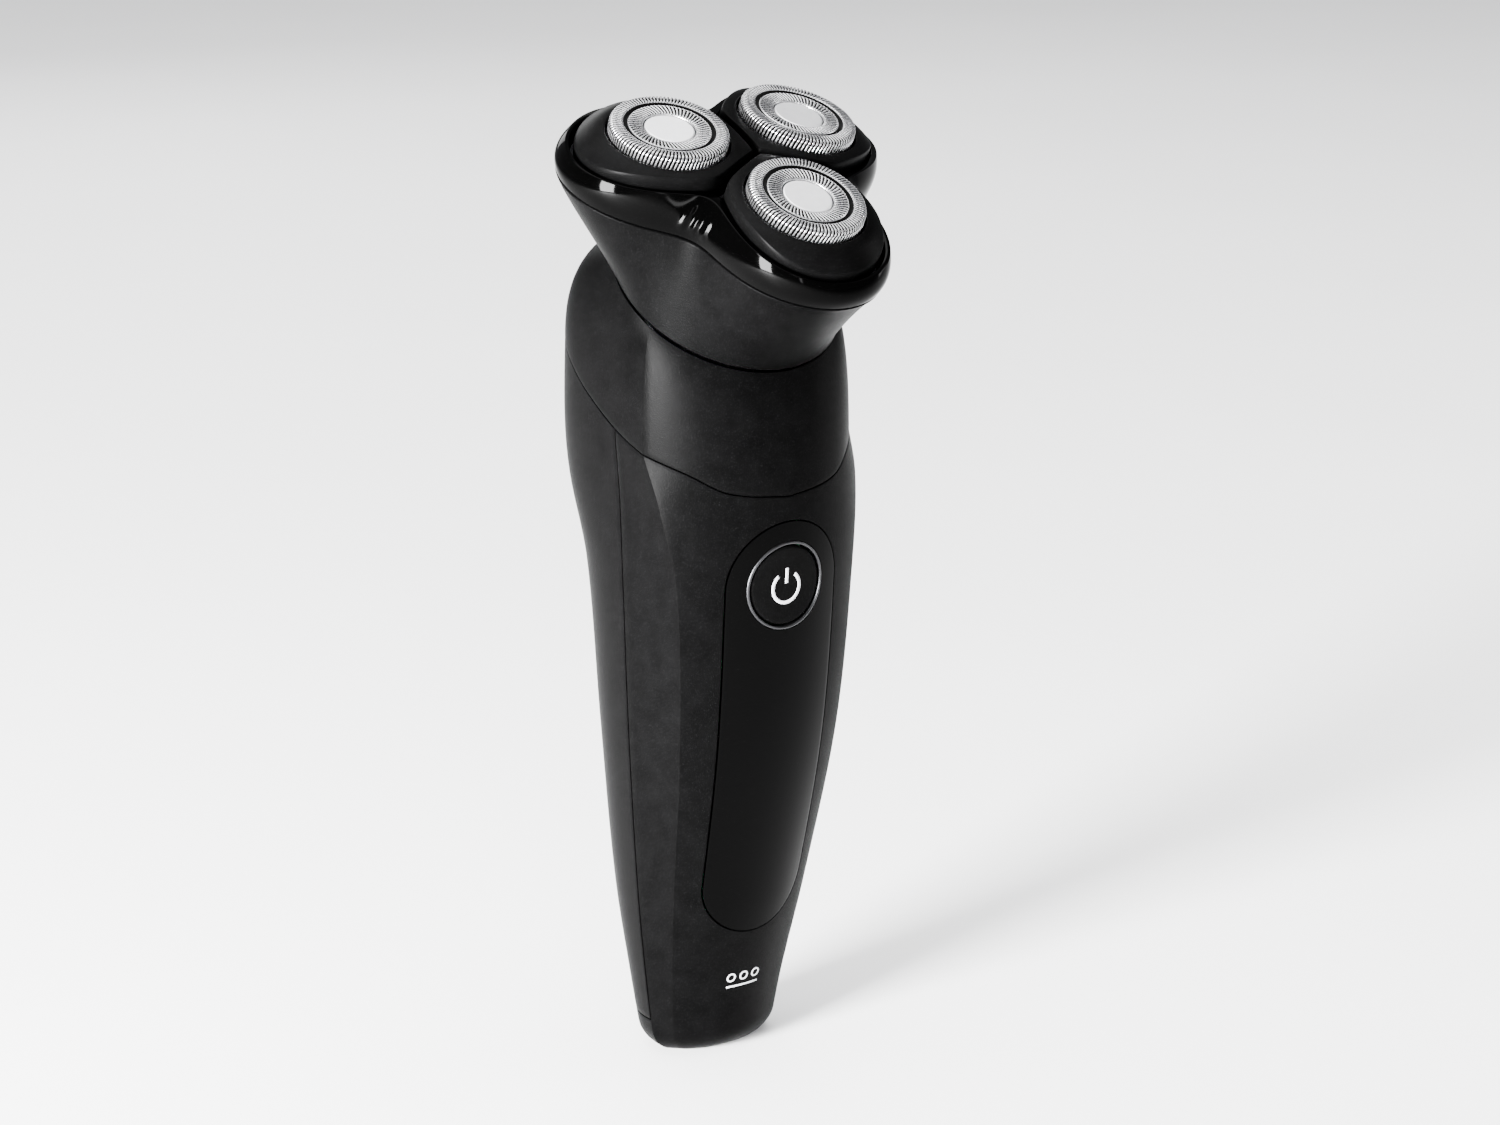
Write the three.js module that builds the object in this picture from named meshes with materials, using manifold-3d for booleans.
// Cordless rotary shaver with three floating heads. Millimetres, +Z up, the front faces -Y.
// The origin is on the flat base. The handle is a loft of sections; the head is built in its own
// frame, whose z axis is the head's axis and whose origin is the middle of the three guards.
import * as THREE from 'three';
import { mergeVertices } from 'three/addons/utils/BufferGeometryUtils.js';
import Module from 'manifold-3d';

const wasm = await Module();
wasm.setup();

// ---- driving dimensions -------------------------------------------------------------------

const GAP = 0.3; // between touching pieces
const RUNNING_GAP = 0.4; // round anything that moves
const SIDES = 30; // facets round a large circle
const FEW_SIDES = 16; // facets round a small circle
const SECTION_STEPS = 36; // round the whole handle
const LOBED_STEPS = 42; // round a three-lobed outline

// Handle: stations of the loft, from the base upwards.
const STATION_HEIGHT = [0, 12, 32, 62, 92, 107, 118, 140];
const NOSE_DEPTH = [4.2, 6.2, 11.3, 17.4, 20.2, 20.6, 20.4, 18.5]; // front of the section, towards -Y
const FRONT_CREASE_X = [10.4, 12.0, 14.4, 16.9, 18.7, 20.8, 21.6, 21.2];
const FRONT_CREASE_Y = [-0.3, -1.8, -5.9, -11.8, -13.8, -11.6, -7.4, -5.0];
const REAR_CREASE_X = [12.8, 14.6, 17.1, 19.6, 21.3, 21.6, 21.7, 21.4];
const REAR_CREASE_Y = [2.6, 2.2, 1.3, 0.0, -1.1, -0.8, 0.2, 0.6];
const BACK_Y = [12.0, 13.8, 16.9, 18.8, 21.0, 25.0, 25.6, 24.6];
const BACK_POWER = [3, 3, 3, 3, 3.1, 3.8, 4, 4]; // how square the back of the section is
const BASE_ROUND = 4.8; // rounding of the foot
const FOOT_ROWS = 3;
const HANDLE_ROWS = 9;
const NOSE_STEPS = 6;
const BACK_STEPS = 8;
const CUP_HEIGHT = 7; // the front shell closes the whole foot up to here
const CUP_INSET = 0.05; // the cup's faces lie this far inside the wall's
const WALL_START = 0.1; // the wall starts this far above the cup's bottom
const SHELL_WALL = 2.2;
const ORIGIN_Y = 2.8; // the origin's place on the base, behind the head-and-button line

// Seam between handle and shoulder: its height at angles round the section, 0 at the front.
const SEAM_ANGLE = [0, 33, 52, 90, 113, 143, 180];
const SEAM_HEIGHT = [107.6, 109.2, 112.6, 118.2, 123.2, 132.4, 137.4];

// Neck: the circle where the head's skirt meets the shoulder.
const NECK_RADIUS = 20.4;
const NECK_TILT = THREE.MathUtils.degToRad(35);
const NECK_CENTRE = new THREE.Vector3(0, -2.1, 140.9);
const NECK_WALL = 1.5;
const NECK_GAP = 0.5;
const SHOULDER_RISE = 0.75; // share of the shoulder's height that goes straight up
const SHOULDER_ROWS = 4;

// Head: axis, three pods on a circle, each leaning outwards.
const HEAD_TILT = THREE.MathUtils.degToRad(25);
const HEAD_CENTRE = new THREE.Vector3(0, -11.6, 166.5);
const POD_CIRCLE = 15.4; // radius of the circle through the pods' middles
const POD_LEAN = THREE.MathUtils.degToRad(4.5);
const PODS = [
  { side: 'front', angle: -90 },
  { side: 'right', angle: 30 },
  { side: 'left', angle: 150 },
];
const POD_GAP = 1.6; // the Y-shaped gap between the pods
const POD_TOP = -1.6;
const POD_CROWN = 0.135; // fall of the pod's top per square millimetre outside the guard
const POD_BOTTOM = -6.6;
const POD_CORNER = 1.2; // softness of the pod's corners
const RETAINER_TOP = -9.3; // plate that holds the pods in the bezel
const ARM_HALF = 0.25;

// Three-lobed outlines, radius = mean + lobe cos 3a + third cos 6a.
const POD_OUTLINE = { mean: POD_CIRCLE + 8.1, lobe: 8.4, third: -1.1 };
const GEAR_PLATE_OUTLINE = { mean: POD_CIRCLE + 0.3, lobe: 2.4, third: 0 };
const BEZEL_TOP = -5; // mean height of the bezel's top edge
const BEZEL_WAVE = 1.4; // lower than that at the lobes, higher in the valleys
const BEZEL_LIP = 0.6; // width of the bezel's top edge at the lobes
const BEZEL_VALLEY = 1.6; // wider than that in the valleys
const BEZEL_BULGE = 0.6;
const BEZEL_BOTTOM = -11;
const SKIRT_WALL = 1.6;
const SKIRT_ROWS = 5;
const SKIRT_HOLLOW = 1.05; // over 1 the skirt stays wide under the bezel and draws in below
const SKIRT_HOLLOW_SWING = 0.2; // less than that at the front, more at the back

// Guards and cutters.
const GUARD_RADIUS = 10.25;
const GUARD_WALL = 0.5;
const GUARD_HEIGHT = 4.9;
const POD_HOLE = GUARD_RADIUS + RUNNING_GAP;
const RIM_TOP = 0.35; // crest of the guard's outer and inner tracks
const GROOVE_RADIUS = 7.5;
const GROOVE_BOTTOM = -0.35;
const DISC_RADIUS = 4.3;
const CUTTER_ROOM = 0.65; // between the blades and the guard's wall
const CUTTER_RADIUS = GUARD_RADIUS - GUARD_WALL - CUTTER_ROOM;
const CUTTER_TOP = -2.7; // top of the cutter's ring
const BLADE_TOP = -1.3;
const BLADE_COUNT = 12;
const CARRIER_RADIUS = 3.6;
const CARRIER_TOP = -3.6;
const CARRIER_BOTTOM = -6.2;
const SOCKET_WIDTH = 3.2;
const SOCKET_TOP = -4.0;

// Drive: one pinion on the motor shaft turns three spindle gears.
const PINION_TEETH = 12;
const SPINDLE_TEETH = 30;
const GEAR_TOP = -12.7;
const GEAR_WIDTH = 2;
const GEAR_BACKLASH = 0.35;
const SPINDLE_RADIUS = 1.3;
const SPINDLE_TIP_WIDTH = 1.9;
const SPINDLE_TIP_TOP = -5.2;
const SPINDLE_SEAT = SPINDLE_TIP_TOP - 2.2; // top of the spindle's collar
const SPINDLE_COLLAR = 0.9;
const SPINDLE_CIRCLE = POD_CIRCLE + Math.sin(POD_LEAN) * SPINDLE_TIP_TOP; // under the carriers
const GEAR_MODULE = (2 * SPINDLE_CIRCLE) / (PINION_TEETH + SPINDLE_TEETH);
const GEAR_REACH = SPINDLE_CIRCLE + (SPINDLE_TEETH / 2 + 1) * GEAR_MODULE; // from the head's axis
const SKIRT_DRAW = 1.05; // the skirt draws in by this much between its top and the gears
const GEAR_ROOM = 4.865; // from the gears' reach to the head's outside under the bezel
const SEAM_MEAN = POD_CIRCLE + 11;
const SEAM_THIRD = -0.5;
const SEAM_REACH = GEAR_REACH * SKIRT_DRAW + GEAR_ROOM; // of the seam's lobes
const SEAM_OUTLINE = {
  mean: SEAM_MEAN,
  lobe: SEAM_REACH - SEAM_MEAN - SEAM_THIRD,
  third: SEAM_THIRD,
};
const PRESSURE_ANGLE = THREE.MathUtils.degToRad(20);
const SPRING_RADIUS = 2.0;
const SPRING_WIRE = 0.3;
const SPRING_TURNS = 3;
const COVER_TOP = -11.3; // gear cover
const COVER_THICKNESS = 0.9;
const PLATE_TOP = -16; // gear plate, which carries the spindles' lower ends
const PLATE_THICKNESS = 1.6;
const MOTOR_TOP = -23.4;
const MOTOR_LENGTH = 23;
const MOTOR_RADIUS = 10.2;
const MOTOR_FLAT = 15.4; // across the motor's flats
const MOTOR_WALL = 1.2;
const MOTOR_CAP = 1.8;
const ROTOR_RADIUS = 5.6;
const MOUNT_RADIUS = MOTOR_RADIUS + 2; // ring the motor is screwed to
const SHAFT_RADIUS = 1;

// Front panel and button.
const BUTTON_HEIGHT = 91.7;
const BUTTON_RADIUS = 7.1;
const RING_WIDTH = 0.5;
const BUTTON_TRAVEL = 0.6;
const PANEL_RADIUS = 11.4; // round top, centred on the button
const PANEL_FOOT_WIDTH = 10.5; // half width where the round foot starts
const PANEL_FOOT_HEIGHT = 35.8;
const PANEL_THICKNESS = 1;
const PANEL_POCKET = PANEL_THICKNESS + GAP; // depth of the pocket for the panel
const RING_OUTER = BUTTON_RADIUS + GAP + RING_WIDTH;

// Inside the handle.
const BATTERY_RADIUS = 7;
const BATTERY_LENGTH = 48;
const BATTERY_BOTTOM = 23;
const BATTERY_Y = 4.8;
const BOARD_Y = -12;
const BOARD_THICKNESS = 1.2;
const BOARD_WIDTH = 17;
const BOARD_BOTTOM = 64;
const BOARD_TOP = 106;
const SWITCH_SIZE = 6;
const SWITCH_DEPTH = 3;
const FRAME_Y = -3.2; // rear face of the chassis plate
const FRAME_THICKNESS = 1.5;
const FRAME_HALF_WIDTH = 9.5;
const FRAME_BOTTOM = 36;
const SCREW_HEIGHTS = [15, 77];
const SCREW_RADIUS = 1.2;
const SCREW_HEAD_RADIUS = 2.5;
const POST_RADIUS = SCREW_RADIUS + 1.4;
const SCREW_DEPTH = 6; // of thread in the post
const FLOOR_THICKNESS = 2.4;
const INLET_WIDTH = 8.4;
const INLET_DEPTH = 3;
const INLET_Y = 7;
const INLET_HEIGHT = 8.5;

// Trimmer: a flap in the back that swings out on a pin at its lower end.
const FLAP_HALF_WIDTH = 12;
const FLAP_TOP = 130;
const FLAP_INNER_Y = 18.1;
const HINGE_HEIGHT = 100.6;
const HINGE_Y = 20.6;
const HINGE_ROUND = 2.5;
const PIN_RADIUS = 0.9;
const PIN_HALF_LENGTH = FLAP_HALF_WIDTH + 1;
const TRAY_WALL = 1.4;
const COMB_TEETH = 15;
const COMB_THICKNESS = 0.7;
const FLAP_LOW_EDGE = HINGE_HEIGHT - HINGE_ROUND;
const TRAY_LOW = FLAP_LOW_EDGE - 1.7; // the tray is longer than the flap, to let it swing
const TRAY_TOP = FLAP_TOP + 1;
const SLIDER_HEIGHT = TRAY_LOW - 8;
const SLIDER_HALF_WIDTH = 4.5;
const SLIDER_HALF_HEIGHT = 3;
const SLIDER_TRAVEL = 3;

// ---- materials ----------------------------------------------------------------------------

function material(color, roughness, metalness) {
  return new THREE.MeshStandardMaterial({ color, roughness, metalness });
}
const satinBlack = material(0x1c1c1e, 0.55, 0);
const glossBlack = material(0x0a0a0b, 0.12, 0);
const darkPlastic = material(0x2a2a2c, 0.6, 0);
const steel = material(0xb9bbbe, 0.35, 1);
const aluminium = material(0xd4d5d7, 0.3, 1);
const brass = material(0xb08d45, 0.4, 1);
const acetal = material(0xe8e6df, 0.5, 0);
const boardGreen = material(0x1f5a38, 0.5, 0);
const batteryGreen = material(0x3f7f5a, 0.45, 0);
const amber = material(0xc98a2b, 0.3, 0);

// ---- solids -------------------------------------------------------------------------------

function toSolid(geometry) {
  const bare = geometry.clone();
  bare.deleteAttribute('normal');
  bare.deleteAttribute('uv');
  const merged = mergeVertices(bare, 1e-4);
  return new wasm.Manifold(new wasm.Mesh({
    numProp: 3,
    vertProperties: new Float32Array(merged.attributes.position.array),
    triVerts: new Uint32Array(merged.index.array),
  }));
}

function toGeometry(solid) {
  const mesh = solid.getMesh();
  const geometry = new THREE.BufferGeometry();
  geometry.setAttribute('position', new THREE.BufferAttribute(mesh.vertProperties, 3));
  geometry.setIndex(new THREE.BufferAttribute(mesh.triVerts, 1));
  return geometry;
}

function join(...geometries) {
  return toGeometry(geometries.map(toSolid).reduce((whole, next) => whole.add(next)));
}

function cut(body, ...tools) {
  return toGeometry(tools.map(toSolid).reduce((rest, tool) => rest.subtract(tool), toSolid(body)));
}

function overlapOf(first, second) {
  return toGeometry(toSolid(first).intersect(toSolid(second)));
}

function box(low, high) {
  const size = high.map((value, axis) => value - low[axis]);
  const geometry = new THREE.BoxGeometry(...size);
  return geometry.translate(...high.map((value, axis) => (value + low[axis]) / 2));
}

// A cylinder along z from low to high.
function post(radius, low, high, sides = FEW_SIDES) {
  const geometry = new THREE.CylinderGeometry(radius, radius, high - low, sides);
  return geometry.rotateX(Math.PI / 2).translate(0, 0, (low + high) / 2);
}

// A cylinder along y from front to back at the given x and height.
function crossPost(radius, front, back, x, height, sides = FEW_SIDES) {
  const geometry = new THREE.CylinderGeometry(radius, radius, back - front, sides);
  return geometry.translate(x, (front + back) / 2, height);
}

// A turned shape about z from [radius, height] corners.
function turned(corners, sides = SIDES) {
  const points = corners.map(([radius, height]) => new THREE.Vector2(radius, height));
  return new THREE.LatheGeometry(points, sides).rotateX(Math.PI / 2);
}

function tube(inner, outer, low, high, sides = SIDES) {
  return turned([[inner, low], [outer, low], [outer, high], [inner, high], [inner, low]], sides);
}

// A plate cut from an outline of Vector2 points, with round holes, from low to high.
function plate(outline, low, high, holes = []) {
  const shape = new THREE.Shape(outline);
  for (const { x, y, radius } of holes) {
    const hole = new THREE.Path();
    hole.absarc(x, y, radius, 0, 2 * Math.PI, true);
    shape.holes.push(hole);
  }
  const options = { depth: high - low, bevelEnabled: false, curveSegments: 8 };
  return new THREE.ExtrudeGeometry(shape, options).translate(0, 0, low);
}

// A mesh of triangles, its faces turned outwards.
function meshFromTriangles(points, triangles) {
  let volume = 0;
  for (const [a, b, c] of triangles) {
    volume += points[a].dot(points[b].clone().cross(points[c]));
  }
  const corners = triangles.flat();
  if (volume < 0) corners.reverse();
  const geometry = new THREE.BufferGeometry();
  geometry.setFromPoints(points);
  geometry.setIndex(corners);
  return geometry;
}

// The two triangles of every cell between neighbouring rings of the same number of points.
function cellsBetween(from, to, count) {
  const cells = [];
  for (let step = 0; step < count; step += 1) {
    const next = (step + 1) % count;
    cells.push([from * count + step, from * count + next, to * count + next]);
    cells.push([from * count + step, to * count + next, to * count + step]);
  }
  return cells;
}

// A body with a hole through it: each closed ring is joined to the next and the last to the first.
function hollowBody(rings) {
  const count = rings[0].length;
  const closing = cellsBetween(rings.length - 1, 0, count);
  const triangles = rings.slice(1).flatMap((ring, index) => cellsBetween(index, index + 1, count));
  return meshFromTriangles(rings.flat(), [...triangles, ...closing]);
}

// A solid body: rings joined in order, both ends closed to their middles.
function solidBody(rings) {
  const count = rings[0].length;
  const points = rings.flat();
  const triangles = rings.slice(1).flatMap((ring, index) => cellsBetween(index, index + 1, count));
  const closeEnd = (ring, order) => {
    const middle = new THREE.Vector3();
    rings[ring].forEach((point) => middle.addScaledVector(point, 1 / count));
    points.push(middle);
    for (let step = 0; step < count; step += 1) {
      const a = ring * count + step;
      const b = ring * count + ((step + 1) % count);
      triangles.push(order(a, b, points.length - 1));
    }
  };
  closeEnd(0, (a, b, middle) => [b, a, middle]);
  closeEnd(rings.length - 1, (a, b, middle) => [a, b, middle]);
  return meshFromTriangles(points, triangles);
}

// A curved wall from rows of { outer, inner } points, with its rims closed by strips.
function wallBody(rows) {
  const across = rows[0].outer.length;
  const count = 2 * across;
  const points = rows.flatMap(({ outer, inner }) => [...outer, ...inner.slice().reverse()]);
  const triangles = rows.slice(1).flatMap((row, index) => cellsBetween(index, index + 1, count));
  const closeRim = (row, order) => {
    for (let step = 0; step + 1 < across; step += 1) {
      const outer = row * count + step;
      const inner = row * count + count - 1 - step;
      triangles.push(order(outer, inner, outer + 1), order(outer + 1, inner, inner - 1));
    }
  };
  closeRim(0, (a, b, c) => [a, b, c]);
  closeRim(rows.length - 1, (a, b, c) => [a, c, b]);
  return meshFromTriangles(points, triangles);
}

// ---- handle surface -----------------------------------------------------------------------

// Smooth value at x through the points (places, values).
function smoothValue(places, values, x) {
  const last = places.length - 1;
  let index = 0;
  while (index < last - 1 && x > places[index + 1]) index += 1;
  const slopeAt = (place) => {
    const below = Math.max(place - 1, 0);
    const above = Math.min(place + 1, last);
    return (values[above] - values[below]) / (places[above] - places[below]);
  };
  const span = places[index + 1] - places[index];
  const t = THREE.MathUtils.clamp((x - places[index]) / span, 0, 1);
  const rise = values[index + 1] - values[index];
  const start = slopeAt(index) * span;
  const end = slopeAt(index + 1) * span;
  const square = 3 * rise - 2 * start - end;
  return values[index] + start * t + square * t ** 2 + (start + end - 2 * rise) * t ** 3;
}

function atHeight(values, height) {
  return smoothValue(STATION_HEIGHT, values, height);
}

// y of the round nose at a distance x from the middle.
function noseY(x, height) {
  const creaseX = atHeight(FRONT_CREASE_X, height);
  const front = -atHeight(NOSE_DEPTH, height);
  const sag = atHeight(FRONT_CREASE_Y, height) - front;
  const radius = (creaseX ** 2 + sag ** 2) / (2 * sag);
  return front + radius - Math.sqrt(Math.max(radius ** 2 - x ** 2, 0));
}

// A point of the section. share runs from 0 at the nose over 1 at the front crease and 2 at the rear
// crease to 3 at the middle of the back; a negative share is the other side.
function sectionPoint(share, height) {
  const side = Math.sign(share) || 1;
  const along = Math.abs(share);
  const frontX = atHeight(FRONT_CREASE_X, height);
  const rearX = atHeight(REAR_CREASE_X, height);
  const rearY = atHeight(REAR_CREASE_Y, height);
  if (along <= 1) {
    const x = frontX * along;
    return new THREE.Vector3(side * x, noseY(x, height), height);
  }
  if (along <= 2) {
    const front = new THREE.Vector3(side * frontX, noseY(frontX, height), height);
    return front.lerp(new THREE.Vector3(side * rearX, rearY, height), along - 1);
  }
  const turn = ((along - 2) * Math.PI) / 2;
  const depth = atHeight(BACK_Y, height) - rearY;
  const power = atHeight(BACK_POWER, height);
  const sum = (Math.cos(turn) / rearX) ** power + (Math.sin(turn) / depth) ** power;
  const reach = sum ** (-1 / power);
  return new THREE.Vector3(side * reach * Math.cos(turn), rearY + reach * Math.sin(turn), height);
}

// Outward direction of the section, level with the base.
function sectionNormal(share, height) {
  const step = 0.03;
  const ahead = sectionPoint(Math.min(share + step, 3), height);
  const behind = sectionPoint(Math.max(share - step, -3), height);
  const along = ahead.sub(behind);
  return new THREE.Vector3(along.y, -along.x, 0).normalize();
}

// A point of the handle moved inwards by a depth, with the foot's rounding. squareTo is the share
// whose outward direction is used, so that two walls that meet at an edge stay parallel there.
function handlePoint(share, height, depth, squareTo = share) {
  const intoFoot = Math.max(BASE_ROUND - height, 0);
  const round = BASE_ROUND - Math.sqrt(BASE_ROUND ** 2 - intoFoot ** 2);
  return sectionPoint(share, height).addScaledVector(sectionNormal(squareTo, height), -(depth + round));
}

// Angle round the handle in degrees, 0 at the front and 180 at the back.
function angleRound(share) {
  const point = sectionPoint(share, STATION_HEIGHT[6]);
  return Math.abs(THREE.MathUtils.radToDeg(Math.atan2(point.x, -point.y)));
}

function seamHeight(share) {
  return smoothValue(SEAM_ANGLE, SEAM_HEIGHT, angleRound(share));
}

// Evenly spread values from start to end.
function spread(start, end, steps) {
  return Array.from({ length: steps + 1 }, (unused, index) => start + ((end - start) * index) / steps);
}

const FOOT_HEIGHTS = spread(0, Math.PI / 2, FOOT_ROWS).map((turn) => BASE_ROUND * (1 - Math.cos(turn)));

// Heights of the rows up one line of the handle, from low (or through the foot's rounding) to the seam.
function rowHeights(share, low) {
  const top = seamHeight(share) - GAP / 2;
  if (low > 0) return spread(low, top, HANDLE_ROWS);
  return [WALL_START, ...FOOT_HEIGHTS.slice(1), ...spread(BASE_ROUND, top, HANDLE_ROWS).slice(1)];
}

// The wall of the handle between the given shares of the section, from low up to the seam. trim
// pulls its two side edges in.
function handleWall(shares, low, trim) {
  const columns = shares.map((share) => rowHeights(share, low));
  const rows = columns[0].map((unused, row) => {
    const pointsAt = (depth) => shares.map((share, column) => {
      const height = columns[column][row];
      return handlePoint(trim(share, height), height, depth, share);
    });
    return { outer: pointsAt(0), inner: pointsAt(SHELL_WALL) };
  });
  return wallBody(rows);
}

// The handle's outside, moved inwards by a depth, through the given heights, as a solid.
function handleBlock(heights, depth) {
  const shares = spread(-3, 3, SECTION_STEPS).slice(0, -1);
  return solidBody(heights.map((height) => shares.map((share) => handlePoint(share, height, depth))));
}

// ---- front plates: pieces that follow the curve of the nose --------------------------------

// A round plate on the nose, about the button's middle, from one radius to another and one depth
// behind the surface to another.
function roundPlate(inner, outer, front, back) {
  const around = spread(0, 2 * Math.PI, SIDES - 6).slice(0, -1);
  const ring = (radius, depth) => around.map((angle) => {
    const x = radius * Math.cos(angle);
    const height = BUTTON_HEIGHT + radius * Math.sin(angle);
    return new THREE.Vector3(x, noseY(x, height) + depth, height);
  });
  const through = inner || outer / 2;
  const rings = [ring(through, front), ring(outer, front), ring(outer, back), ring(through, back)];
  return inner > 0 ? hollowBody(rings) : solidBody(rings);
}

// Half width of the panel's outline at a height.
function panelHalfWidth(height, grow) {
  const topRadius = PANEL_RADIUS + grow;
  const footRadius = PANEL_FOOT_WIDTH + grow;
  const across = (radius, rise) => Math.sqrt(Math.max(radius ** 2 - rise ** 2, 0));
  if (height > BUTTON_HEIGHT) return across(topRadius, height - BUTTON_HEIGHT);
  if (height < PANEL_FOOT_HEIGHT) return across(footRadius, PANEL_FOOT_HEIGHT - height);
  const t = (BUTTON_HEIGHT - height) / (BUTTON_HEIGHT - PANEL_FOOT_HEIGHT);
  return topRadius + (footRadius - topRadius) * t ** 2;
}

// The panel's body: rows across the nose, closer together in its two round ends.
function panelBody(grow, front, back) {
  const quarter = [0.1, ...spread(0, Math.PI / 2, 5).slice(1)];
  const foot = quarter.map((angle) => PANEL_FOOT_HEIGHT - (PANEL_FOOT_WIDTH + grow) * Math.cos(angle));
  const head = quarter.map((angle) => BUTTON_HEIGHT + (PANEL_RADIUS + grow) * Math.cos(angle)).reverse();
  const heights = [...foot, ...spread(PANEL_FOOT_HEIGHT, BUTTON_HEIGHT, 4).slice(1, -1), ...head];
  const rows = heights.map((height) => {
    const halfWidth = panelHalfWidth(height, grow);
    const pointsAt = (depth) => spread(-halfWidth, halfWidth, 6).map((x) => (
      new THREE.Vector3(x, noseY(x, height) + depth, height)));
    return { outer: pointsAt(front), inner: pointsAt(back) };
  });
  return wallBody(rows);
}

// ---- handle pieces ------------------------------------------------------------------------

// Share of the section at its rear crease, moved by half a gap towards the front or the back.
function nearCrease(share, height, towardsBack) {
  if (Math.abs(share) !== 2) return share;
  const facet = sectionPoint(2, height).distanceTo(sectionPoint(1, height));
  const quarterTurn = (atHeight(BACK_Y, height) - atHeight(REAR_CREASE_Y, height)) * (Math.PI / 2);
  const shift = towardsBack ? GAP / 2 / quarterTurn : -GAP / 2 / facet;
  return share + Math.sign(share) * shift;
}

// The front half of the handle with the foot, which is a cup round the whole section.
function makeFrontShell() {
  const shares = [-2, ...spread(-1, 1, 2 * NOSE_STEPS), 2];
  const wall = handleWall(shares, 0, (share, height) => nearCrease(share, height, false));
  const cupTop = CUP_HEIGHT - GAP / 2;
  const cup = cut(
    handleBlock([...FOOT_HEIGHTS, cupTop], CUP_INSET),
    handleBlock([FLOOR_THICKNESS, ...FOOT_HEIGHTS.slice(-2), cupTop + 1], SHELL_WALL + CUP_INSET),
  );
  const inletX = INLET_WIDTH / 2 + GAP;
  const inletY = INLET_DEPTH / 2 + GAP;
  return cut(
    join(wall, cup, screwPost(noseY(0, SCREW_HEIGHTS[0]) + SHELL_WALL / 2, SCREW_HEIGHTS[0])),
    panelBody(GAP, -2, PANEL_POCKET),
    crossPost(BUTTON_RADIUS + RUNNING_GAP, -30, -10, 0, BUTTON_HEIGHT, SIDES),
    box([-inletX, INLET_Y - inletY, -1], [inletX, INLET_Y + inletY, FLOOR_THICKNESS + 3]),
  );
}

function makeRearShell() {
  const shares = [...spread(2, 3, BACK_STEPS), ...spread(-3, -2, BACK_STEPS).slice(1)];
  const toCrease = (share, height) => nearCrease(share, height, true);
  const wall = handleWall(shares, CUP_HEIGHT + GAP / 2, toCrease);
  const trayX = FLAP_HALF_WIDTH + RUNNING_GAP + TRAY_WALL;
  const trayInner = FLAP_INNER_Y - RUNNING_GAP - TRAY_WALL;
  const trayBlock = box([-trayX, trayInner, TRAY_LOW - TRAY_WALL], [trayX, 40, TRAY_TOP + TRAY_WALL]);
  const tray = overlapOf(handleBlock(spread(TRAY_LOW - 4, TRAY_TOP + 4, 6), 0.2), trayBlock);
  const recessX = FLAP_HALF_WIDTH + RUNNING_GAP;
  const recess = box([-recessX, FLAP_INNER_Y - RUNNING_GAP, TRAY_LOW], [recessX, 40, TRAY_TOP]);
  const pinHole = hingePost(PIN_RADIUS + GAP, PIN_HALF_LENGTH + GAP);
  const tools = [recess, pinHole, sliderShape(RUNNING_GAP, SLIDER_TRAVEL, 3)];
  for (const height of SCREW_HEIGHTS) {
    const back = atHeight(BACK_Y, height);
    tools.push(crossPost(SCREW_RADIUS + GAP, back - 2 * SHELL_WALL, back + 2, 0, height, 12));
    tools.push(crossPost(SCREW_HEAD_RADIUS + GAP, back - 1 - GAP, back + 2, 0, height));
  }
  return cut(join(wall, tray), ...tools);
}

// The trimmer's release, a slide in the back. The slot for it is the same shape, grown all round,
// reaching `into` the wall and as far up as the slide can rise.
function sliderShape(grow, rise, into) {
  const back = atHeight(BACK_Y, SLIDER_HEIGHT);
  const halfWidth = SLIDER_HALF_WIDTH + grow;
  const low = SLIDER_HEIGHT - SLIDER_HALF_HEIGHT - grow;
  const high = SLIDER_HEIGHT + SLIDER_HALF_HEIGHT + rise + grow;
  return box([-halfWidth, back - 1.2 - into, low], [halfWidth, back + 0.9 + grow, high]);
}

// A point of the neck's circle at an angle from the front, moved inwards and along the neck's axis.
function neckPoint(angle, inwards, along) {
  const radius = NECK_RADIUS - inwards;
  const turned = new THREE.Vector3(radius * Math.sin(angle), -radius * Math.cos(angle), along);
  return turned.applyAxisAngle(new THREE.Vector3(1, 0, 0), NECK_TILT).add(NECK_CENTRE);
}

// The shoulder: lines that rise from the seam and bend in to the neck's circle.
function makeShoulder() {
  const shares = spread(-3, 3, SECTION_STEPS).slice(0, -1);
  const lineAt = (share, depth) => {
    const height = seamHeight(share) + GAP / 2;
    const start = sectionPoint(share, height).addScaledVector(sectionNormal(share, height), -depth);
    const angle = THREE.MathUtils.degToRad(angleRound(share)) * (Math.sign(share) || 1);
    const end = neckPoint(angle, depth, -NECK_GAP / 2);
    const middle = start.clone();
    middle.z += (end.z - start.z) * SHOULDER_RISE;
    return new THREE.QuadraticBezierCurve3(start, middle, end);
  };
  const ringsAt = (depth) => {
    const lines = shares.map((share) => lineAt(share, depth));
    return spread(0, 1, SHOULDER_ROWS).map((t) => lines.map((line) => line.getPoint(t)));
  };
  return hollowBody([...ringsAt(0), ...ringsAt(NECK_WALL).reverse()]);
}

function makePowerButton() {
  const thickness = 2.4;
  const face = roundPlate(0, BUTTON_RADIUS, 0.1, thickness);
  const switchFace = BOARD_Y - SWITCH_DEPTH;
  const stemFront = noseY(0, BUTTON_HEIGHT) + thickness - 0.8;
  return join(face, crossPost(1.6, stemFront, switchFace - GAP - BUTTON_TRAVEL, 0, BUTTON_HEIGHT));
}

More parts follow.
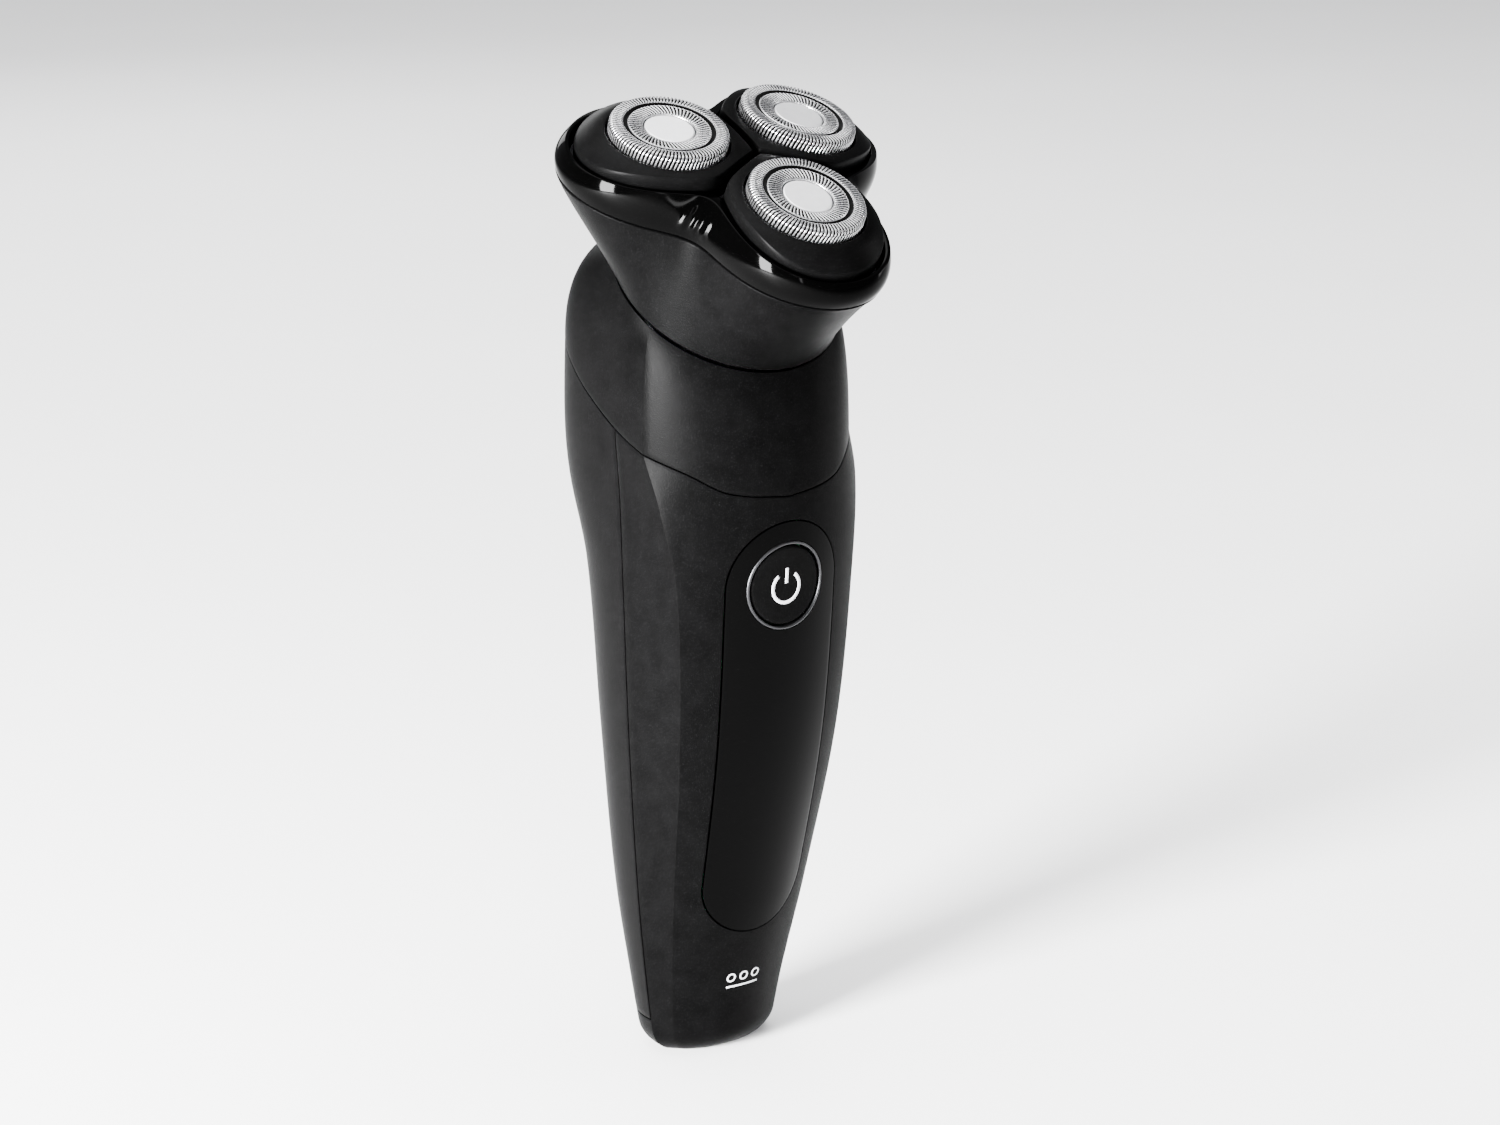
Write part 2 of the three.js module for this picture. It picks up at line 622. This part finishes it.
function makePanel() {
  return cut(panelBody(0, 0, PANEL_THICKNESS), roundPlate(0, RING_OUTER + GAP, -2, 3));
}

// ---- head outlines ------------------------------------------------------------------------

// Radius of a three-lobed outline at an angle from the front lobe.
function lobedRadius({ mean, lobe, third }, angle) {
  return mean + lobe * Math.cos(3 * angle) + third * Math.cos(6 * angle);
}

// A ring of a three-lobed outline in the head's frame, its radius changed by grow.
function lobedRing(outline, grow, heightAt) {
  return spread(0, 2 * Math.PI, LOBED_STEPS).slice(0, -1).map((angle) => {
    const radius = lobedRadius(outline, angle) + grow;
    return new THREE.Vector3(radius * Math.sin(angle), -radius * Math.cos(angle), heightAt(angle));
  });
}

function flatOutline(outline, grow) {
  return lobedRing(outline, grow, () => 0).map((point) => new THREE.Vector2(point.x, point.y));
}

// Distance of the pod's edge from its own axis, at an angle from the outward direction: the rounded
// corner of the lobed outline and the two straight sides along the gaps.
function podReach(angle) {
  const outside = (reach) => {
    const x = POD_CIRCLE + reach * Math.cos(angle);
    const y = reach * Math.sin(angle);
    const lobe = Math.hypot(x, y) - lobedRadius(POD_OUTLINE, Math.atan2(y, x));
    const side = Math.abs(y) * Math.cos(Math.PI / 3) - x * Math.sin(Math.PI / 3) + POD_GAP / 2;
    return POD_CORNER * Math.log(Math.exp(lobe / POD_CORNER) + Math.exp(side / POD_CORNER));
  };
  let near = 0;
  let far = 2 * POD_CIRCLE;
  for (let halving = 0; halving < 24; halving += 1) {
    const middle = (near + far) / 2;
    if (outside(middle) < 0) near = middle;
    else far = middle;
  }
  return near;
}

// Height of the pod's top: it falls away outside the guard, most of all on the outward side.
function podTop(reach, angle) {
  const outwards = 0.3 + 0.7 * Math.cos(angle / 2) ** 2;
  return POD_TOP - POD_CROWN * outwards * Math.max(reach - POD_HOLE, 0) ** 2;
}

// ---- head pieces --------------------------------------------------------------------------

function makePodShell() {
  const around = spread(0, 2 * Math.PI, SIDES).slice(0, -1);
  const ringAt = (share, drop) => around.map((angle) => {
    const edge = podReach(angle);
    const reach = POD_HOLE + (edge - POD_HOLE) * share;
    const height = podTop(reach, angle) - drop;
    return new THREE.Vector3(reach * Math.cos(angle), reach * Math.sin(angle), height);
  });
  const flatRing = (share) => ringAt(share, 0).map((point) => point.setZ(POD_BOTTOM));
  const top = [ringAt(0, 0), ringAt(0.5, 0), ringAt(0.9, 0.05), ringAt(1, 0.5)];
  return hollowBody([...top, flatRing(1), flatRing(0)]);
}

// The guard: a thin steel cap whose top carries an outer and an inner shaving track.
function makeGuard() {
  const inner = GUARD_RADIUS - GUARD_WALL;
  return turned([
    [inner, -GUARD_HEIGHT],
    [GUARD_RADIUS, -GUARD_HEIGHT],
    [GUARD_RADIUS, GROOVE_BOTTOM],
    [GUARD_RADIUS - 0.7, RIM_TOP],
    [GROOVE_RADIUS + 0.5, RIM_TOP],
    [GROOVE_RADIUS, GROOVE_BOTTOM],
    [GROOVE_RADIUS - 0.5, RIM_TOP / 2],
    [DISC_RADIUS + GAP, GROOVE_BOTTOM],
    [DISC_RADIUS + GAP, GROOVE_BOTTOM - GUARD_WALL],
    [GROOVE_RADIUS, GROOVE_BOTTOM - GUARD_WALL],
    [inner - 0.3, RIM_TOP - GUARD_WALL],
    [inner, RIM_TOP - 2 * GUARD_WALL],
    [inner, -GUARD_HEIGHT],
  ], 24);
}

function makeCutter() {
  const blades = spread(0, 2 * Math.PI, BLADE_COUNT).slice(1).map((angle) => (
    box([CUTTER_RADIUS - 3.2, -0.4, CUTTER_TOP], [CUTTER_RADIUS - 0.2, 0.4, BLADE_TOP]).rotateZ(angle)));
  return join(tube(1.2, CUTTER_RADIUS, CUTTER_TOP - 0.7, CUTTER_TOP + 0.1, 24), ...blades);
}

function makeCarrier() {
  const half = SOCKET_WIDTH / 2;
  const body = post(CARRIER_RADIUS, CARRIER_BOTTOM, CARRIER_TOP);
  return cut(body, box([-half, -half, CARRIER_BOTTOM - 1], [half, half, SOCKET_TOP]));
}

function makeBezel() {
  const topAt = (angle) => BEZEL_TOP - BEZEL_WAVE * Math.cos(3 * angle);
  const lip = RUNNING_GAP;
  const outerRing = (share) => spread(0, 2 * Math.PI, LOBED_STEPS).slice(0, -1).map((angle) => {
    const valley = (1 - Math.cos(3 * angle)) / 2;
    const top = lobedRadius(POD_OUTLINE, angle) + lip + BEZEL_LIP + BEZEL_VALLEY * valley;
    const ease = Math.sin((share * Math.PI) / 2);
    const bulge = BEZEL_BULGE * Math.sin(share * Math.PI);
    const radius = top + (lobedRadius(SEAM_OUTLINE, angle) - top) * ease + bulge;
    const height = topAt(angle) + (BEZEL_BOTTOM + GAP / 2 - topAt(angle)) * share;
    return new THREE.Vector3(radius * Math.sin(angle), -radius * Math.cos(angle), height);
  });
  const innerTop = lobedRing(POD_OUTLINE, lip, topAt);
  const innerBottom = lobedRing(POD_OUTLINE, lip, () => BEZEL_BOTTOM + GAP / 2);
  return hollowBody([...spread(0, 1, 4).map(outerRing), innerBottom, innerTop]);
}

// Plate under the pods with a hole for each cutter's carrier, and a three-armed spider in the gaps.
function makeRetainer() {
  const holes = spindlePlaces(POD_CIRCLE).map(({ x, y }) => ({ x, y, radius: CUTTER_RADIUS - 1 }));
  const base = plate(flatOutline(POD_OUTLINE, 0), RETAINER_TOP - 1, RETAINER_TOP, holes);
  const arm = box([0, -ARM_HALF, RETAINER_TOP - 0.5], [11, ARM_HALF, POD_BOTTOM + 0.8]);
  const arms = PODS.map(({ angle }) => arm.clone().rotateZ(THREE.MathUtils.degToRad(angle + 60)));
  return join(base, ...arms);
}

function spindlePlaces(circle) {
  return PODS.map(({ side, angle }) => {
    const turn = THREE.MathUtils.degToRad(angle);
    return { side, turn, x: circle * Math.cos(turn), y: circle * Math.sin(turn) };
  });
}

// The skirt: from the lobed seam down to the neck's circle.
function makeSkirt(toHead) {
  const around = spread(0, 2 * Math.PI, LOBED_STEPS).slice(0, -1);
  const ringsAt = (depth) => spread(0, 1, SKIRT_ROWS).map((share) => around.map((angle) => {
    const radius = lobedRadius(SEAM_OUTLINE, angle) - depth;
    const seam = BEZEL_BOTTOM - GAP / 2;
    const top = new THREE.Vector3(radius * Math.sin(angle), -radius * Math.cos(angle), seam);
    const foot = neckPoint(angle, depth, NECK_GAP / 2).applyMatrix4(toHead);
    const inwards = share ** (SKIRT_HOLLOW - SKIRT_HOLLOW_SWING * Math.cos(angle));
    const point = top.clone().lerp(foot, inwards);
    point.z = top.z + (foot.z - top.z) * share;
    return point;
  }));
  return hollowBody([...ringsAt(0), ...ringsAt(SKIRT_WALL).reverse()]);
}

// ---- drive --------------------------------------------------------------------------------

// Outline of a spur gear with a tooth at angle `start`, its flanks straight between involute points.
function gearOutline(teeth, start) {
  const pitch = (GEAR_MODULE * teeth) / 2;
  const base = pitch * Math.cos(PRESSURE_ANGLE);
  const involute = (pressure) => Math.tan(pressure) - pressure;
  const halfAngle = (radius) => {
    const pressure = Math.acos(Math.min(base / radius, 1));
    const atPitch = Math.PI / 2 / teeth - GEAR_BACKLASH / 2 / pitch;
    return atPitch + involute(PRESSURE_ANGLE) - involute(pressure);
  };
  const root = pitch - 1.2 * GEAR_MODULE;
  const tip = pitch + 0.85 * GEAR_MODULE;
  const points = [];
  for (let tooth = 0; tooth < teeth; tooth += 1) {
    const middle = start + (tooth * 2 * Math.PI) / teeth;
    for (const [radius, side] of [[root, -1], [tip, -1], [tip, 1], [root, 1]]) {
      const angle = middle + side * halfAngle(radius);
      points.push(new THREE.Vector2(radius * Math.cos(angle), radius * Math.sin(angle)));
    }
  }
  return points;
}

function boredGear(teeth, start, bore) {
  return plate(gearOutline(teeth, start), GEAR_TOP - GEAR_WIDTH, GEAR_TOP, [{ x: 0, y: 0, radius: bore }]);
}

// A gear on a spindle: it has a tooth space where the pinion, at the head's middle, has a tooth.
function makeSpindleGear(turn) {
  const facing = turn + Math.PI + Math.PI / SPINDLE_TEETH;
  return boredGear(SPINDLE_TEETH, facing, SPINDLE_RADIUS + GAP);
}

function makePinion() {
  const start = THREE.MathUtils.degToRad(PODS[0].angle);
  return boredGear(PINION_TEETH, start, SHAFT_RADIUS + GAP);
}

// A spindle: a square tip that turns the carrier, a collar for the spring and a round shaft.
function makeSpindle() {
  const half = SPINDLE_TIP_WIDTH / 2;
  return join(
    box([-half, -half, SPINDLE_SEAT - 0.1], [half, half, SPINDLE_TIP_TOP]),
    post(SPRING_RADIUS + SPRING_WIRE, SPINDLE_SEAT - SPINDLE_COLLAR, SPINDLE_SEAT),
    post(SPINDLE_RADIUS, PLATE_TOP - PLATE_THICKNESS, SPINDLE_SEAT - SPINDLE_COLLAR / 2),
  );
}

class Coil extends THREE.Curve {
  constructor(radius, low, high, turns) {
    super();
    Object.assign(this, { radius, low, high, turns });
  }

  getPoint(t, target = new THREE.Vector3()) {
    const angle = 2 * Math.PI * this.turns * t;
    const height = this.low + (this.high - this.low) * t;
    return target.set(this.radius * Math.cos(angle), this.radius * Math.sin(angle), height);
  }
}

function makeSpring() {
  const wire = new THREE.Shape();
  wire.absarc(0, 0, SPRING_WIRE, 0, 2 * Math.PI, false);
  const clear = SPRING_WIRE + GAP;
  const high = SPINDLE_SEAT - SPINDLE_COLLAR - clear;
  const extrudePath = new Coil(SPRING_RADIUS, GEAR_TOP + clear, high, SPRING_TURNS);
  const steps = SPRING_TURNS * 8;
  return new THREE.ExtrudeGeometry(wire, { steps, curveSegments: 2, extrudePath, bevelEnabled: false });
}

function makeGearCover() {
  const radius = SPRING_RADIUS + SPRING_WIRE + 2 * GAP;
  const holes = spindlePlaces(SPINDLE_CIRCLE).map(({ x, y }) => ({ x, y, radius }));
  const outline = flatOutline(SEAM_OUTLINE, -(SKIRT_WALL + 5 * GAP));
  return plate(outline, COVER_TOP - COVER_THICKNESS, COVER_TOP, holes);
}

function makeGearPlate() {
  const holes = spindlePlaces(SPINDLE_CIRCLE).map(({ x, y }) => ({ x, y, radius: SPINDLE_RADIUS + GAP }));
  holes.push({ x: 0, y: 0, radius: SHAFT_RADIUS + 2 * GAP });
  return plate(flatOutline(GEAR_PLATE_OUTLINE, 0), PLATE_TOP - PLATE_THICKNESS, PLATE_TOP, holes);
}

// A round bar with two flats that face the front and the back.
function flattedPost(radius, flat, low, high) {
  const keep = box([-radius - 1, -flat / 2, low - 1], [radius + 1, flat / 2, high + 1]);
  return overlapOf(post(radius, low, high, 24), keep);
}

function makeMotorCan() {
  const low = MOTOR_TOP - MOTOR_LENGTH;
  const insideFlat = MOTOR_FLAT - 2 * MOTOR_WALL;
  const core = flattedPost(MOTOR_RADIUS - MOTOR_WALL, insideFlat, low - 1, MOTOR_TOP - MOTOR_WALL);
  const shaftHole = post(SHAFT_RADIUS + GAP, MOTOR_TOP - 3, MOTOR_TOP + 1);
  return cut(flattedPost(MOTOR_RADIUS, MOTOR_FLAT, low, MOTOR_TOP), core, shaftHole);
}

function makeMotorCap() {
  const low = MOTOR_TOP - MOTOR_LENGTH;
  const clear = MOTOR_WALL + GAP;
  return flattedPost(MOTOR_RADIUS - clear, MOTOR_FLAT - 2 * clear, low, low + MOTOR_CAP);
}

function makeRotor() {
  const low = MOTOR_TOP - MOTOR_LENGTH + MOTOR_CAP + 2 * GAP;
  return join(post(ROTOR_RADIUS, low + 1.6, MOTOR_TOP - 3.2, 20), post(SHAFT_RADIUS, low, GEAR_TOP));
}

function makeMotorMount() {
  const hole = { x: 0, y: 0, radius: 4 };
  const outline = new THREE.Path().absarc(0, 0, MOUNT_RADIUS, 0, 2 * Math.PI).getPoints(24).slice(1);
  return plate(outline, MOTOR_TOP + GAP, MOTOR_TOP + GAP + 1.4, [hole]);
}

// ---- inside the handle --------------------------------------------------------------------

// A hollow post for a case screw, from the given front to just inside the rear shell.
function screwPost(front, height) {
  const back = atHeight(BACK_Y, height - POST_RADIUS) - SHELL_WALL - GAP;
  return cut(
    crossPost(POST_RADIUS, front, back, 0, height),
    crossPost(SCREW_RADIUS + GAP, back - SCREW_DEPTH - 2 * GAP, back + 1, 0, height, 12),
  );
}

// The frame in the handle: a plate with two saddles for the battery and the upper screw's post.
function makeChassis() {
  const front = FRAME_Y - FRAME_THICKNESS;
  const within = front + 0.2;
  const saddle = (low) => {
    const halfWidth = BATTERY_RADIUS + 1.5;
    const cradle = box([-halfWidth, within, low], [halfWidth, BATTERY_Y - 1, low + 2.4]);
    return cut(cradle, post(BATTERY_RADIUS + GAP, low - 1, low + 4, 24).translate(0, BATTERY_Y, 0));
  };
  return join(
    box([-FRAME_HALF_WIDTH, front, FRAME_BOTTOM], [FRAME_HALF_WIDTH, FRAME_Y, BOARD_TOP - 2]),
    saddle(FRAME_BOTTOM),
    saddle(BATTERY_BOTTOM + BATTERY_LENGTH - 9),
    screwPost(within, SCREW_HEIGHTS[1]),
  );
}

function makeBoard() {
  const half = BOARD_WIDTH / 2;
  return box([-half, BOARD_Y, BOARD_BOTTOM], [half, BOARD_Y + BOARD_THICKNESS, BOARD_TOP]);
}

function makeSwitch() {
  const half = SWITCH_SIZE / 2;
  const face = BOARD_Y - SWITCH_DEPTH;
  return join(
    box([-half, face + 0.9, BUTTON_HEIGHT - half], [half, BOARD_Y - GAP, BUTTON_HEIGHT + half]),
    crossPost(1.7, face, face + 1.2, 0, BUTTON_HEIGHT),
  );
}

// The charging inlet: a blind pocket with a collar that fills the hole in the foot.
function makeInlet() {
  const wall = 0.25;
  const blockAt = (grow, low, high) => {
    const x = INLET_WIDTH / 2 + grow;
    const y = INLET_DEPTH / 2 + grow;
    return box([-x, INLET_Y - y, low], [x, INLET_Y + y, high]);
  };
  const body = blockAt(0.6, FLOOR_THICKNESS + GAP, INLET_HEIGHT);
  const collar = blockAt(0, 0, FLOOR_THICKNESS + 1);
  return cut(join(body, collar), blockAt(-wall, -1, INLET_HEIGHT - 1));
}

function makeCaseScrew(height) {
  const back = atHeight(BACK_Y, height);
  return join(
    crossPost(SCREW_HEAD_RADIUS, back - 1, back - 0.2, 0, height),
    crossPost(SCREW_RADIUS, back - SHELL_WALL - SCREW_DEPTH, back - 0.8, 0, height),
  );
}

// ---- trimmer ------------------------------------------------------------------------------

// A round bar along the trimmer's hinge axis.
function hingePost(radius, halfLength) {
  const bar = post(radius, -halfLength, halfLength, 12).rotateY(Math.PI / 2);
  return bar.translate(0, HINGE_Y, HINGE_HEIGHT);
}

// The flap: a piece of the back with a knuckle round the pin, hollow below and open for the comb.
function makeFlap() {
  const halfWidth = FLAP_HALF_WIDTH;
  const block = handleBlock(spread(FLAP_LOW_EDGE - 2, FLAP_TOP + 2, 8), 0);
  const upper = box([-halfWidth, FLAP_INNER_Y, HINGE_HEIGHT], [halfWidth, 40, FLAP_TOP]);
  const knuckle = hingePost(HINGE_ROUND, halfWidth);
  const pocketX = halfWidth - TRAY_WALL;
  const pocket = (depth, low, high) => (
    box([-pocketX, FLAP_INNER_Y - 1, low], [pocketX, FLAP_INNER_Y + depth, high]));
  return cut(
    overlapOf(block, join(upper, knuckle)),
    pocket(3.4, HINGE_HEIGHT + 4, FLAP_TOP - 6.4),
    pocket(2.6, FLAP_TOP - 5, FLAP_TOP + 1),
    hingePost(PIN_RADIUS + GAP, halfWidth + 1),
  );
}

// A toothed blade under the flap's end: a back bar with teeth that point upwards.
function toothedBlade(front, halfWidth, teeth) {
  const back = front + COMB_THICKNESS;
  const low = FLAP_TOP - 4.6;
  const pitch = (2 * halfWidth) / teeth;
  const bar = box([-halfWidth, front, low], [halfWidth, back, low + 2.2]);
  const combs = spread(0, teeth - 1, teeth - 1).map((index) => {
    const left = -halfWidth + pitch * (index + 0.25);
    return box([left, front, low + 2], [left + pitch / 2, back, FLAP_TOP - 0.3]);
  });
  return join(bar, ...combs);
}

// ---- assembly -----------------------------------------------------------------------------

const shaver = new THREE.Group();
const handle = new THREE.Group();
handle.position.y = -ORIGIN_Y;
shaver.add(handle);
const head = new THREE.Group();
head.position.copy(HEAD_CENTRE);
head.rotation.x = HEAD_TILT;
handle.add(head);
head.updateMatrix();
const toHead = head.matrix.clone().invert();

function place(group, name, geometry, finish) {
  const mesh = new THREE.Mesh(geometry, finish);
  mesh.name = name;
  group.add(mesh);
  return mesh;
}

place(handle, 'front_shell', makeFrontShell(), satinBlack);
place(handle, 'rear_shell', makeRearShell(), satinBlack);
place(handle, 'shoulder_cover', makeShoulder(), satinBlack);
place(handle, 'front_panel', makePanel(), glossBlack);
const buttonRing = roundPlate(BUTTON_RADIUS + GAP, RING_OUTER, -0.1, PANEL_THICKNESS);
place(handle, 'button_ring', buttonRing, aluminium);
place(handle, 'power_button', makePowerButton(), satinBlack);
place(handle, 'circuit_board', makeBoard(), boardGreen);
place(handle, 'tact_switch', makeSwitch(), darkPlastic);
place(handle, 'charge_led', crossPost(1.5, BOARD_Y - 1.8, BOARD_Y - GAP, 0, BOARD_BOTTOM + 8), amber);
place(handle, 'chassis', makeChassis(), darkPlastic);
place(handle, 'charging_socket', makeInlet(), darkPlastic);
const battery = post(BATTERY_RADIUS, BATTERY_BOTTOM, BATTERY_BOTTOM + BATTERY_LENGTH, 24);
place(handle, 'battery', battery.translate(0, BATTERY_Y, 0), batteryGreen);
const tabAt = (low) => post(4, low, low + 0.5).translate(0, BATTERY_Y, 0);
place(handle, 'battery_tab_bottom', tabAt(BATTERY_BOTTOM - 0.5 - GAP), steel);
place(handle, 'battery_tab_top', tabAt(BATTERY_BOTTOM + BATTERY_LENGTH + GAP), steel);
SCREW_HEIGHTS.forEach((height, index) => {
  place(handle, `case_screw_${['low', 'high'][index]}`, makeCaseScrew(height), steel);
});

place(handle, 'trimmer_flap', makeFlap(), satinBlack);
place(handle, 'trimmer_pin', hingePost(PIN_RADIUS, PIN_HALF_LENGTH), steel);
const combFront = FLAP_INNER_Y + TRAY_WALL;
const comb = toothedBlade(combFront, FLAP_HALF_WIDTH - 1.8, COMB_TEETH);
const blade = toothedBlade(combFront - GAP - COMB_THICKNESS, FLAP_HALF_WIDTH - 3.2, COMB_TEETH - 2);
place(handle, 'trimmer_comb', comb, steel);
place(handle, 'trimmer_blade', blade, steel);
place(handle, 'trimmer_slider', sliderShape(0, 0, 0), satinBlack);

place(head, 'skirt', makeSkirt(toHead), satinBlack);
place(head, 'gear_cover', makeGearCover(), darkPlastic);
place(head, 'gear_plate', makeGearPlate(), darkPlastic);
place(head, 'motor_mount', makeMotorMount(), darkPlastic);
place(head, 'motor_can', makeMotorCan(), steel);
place(head, 'motor_cap', makeMotorCap(), darkPlastic);
place(head, 'motor_rotor', makeRotor(), steel);
place(head, 'motor_pinion', makePinion(), brass);
place(head, 'head_bezel', makeBezel(), glossBlack);
place(head, 'pod_retainer', makeRetainer(), darkPlastic);

for (const { side, turn, x, y } of spindlePlaces(SPINDLE_CIRCLE)) {
  place(head, `spindle_gear_${side}`, makeSpindleGear(turn), acetal).position.set(x, y, 0);
  place(head, `spindle_${side}`, makeSpindle(), acetal).position.set(x, y, 0);
  place(head, `spindle_spring_${side}`, makeSpring(), steel).position.set(x, y, 0);
}

for (const { side, turn, x, y } of spindlePlaces(POD_CIRCLE)) {
  const pod = new THREE.Group();
  pod.position.set(x, y, 0);
  pod.rotation.set(0, POD_LEAN, turn, 'ZYX');
  head.add(pod);
  place(pod, `pod_${side}`, makePodShell(), satinBlack);
  place(pod, `guard_${side}`, makeGuard(), steel);
  place(pod, `guard_disc_${side}`, post(DISC_RADIUS, -0.9, -0.25, 24), aluminium);
  place(pod, `cutter_${side}`, makeCutter(), steel);
  place(pod, `cutter_carrier_${side}`, makeCarrier(), acetal);
}

export default shaver;
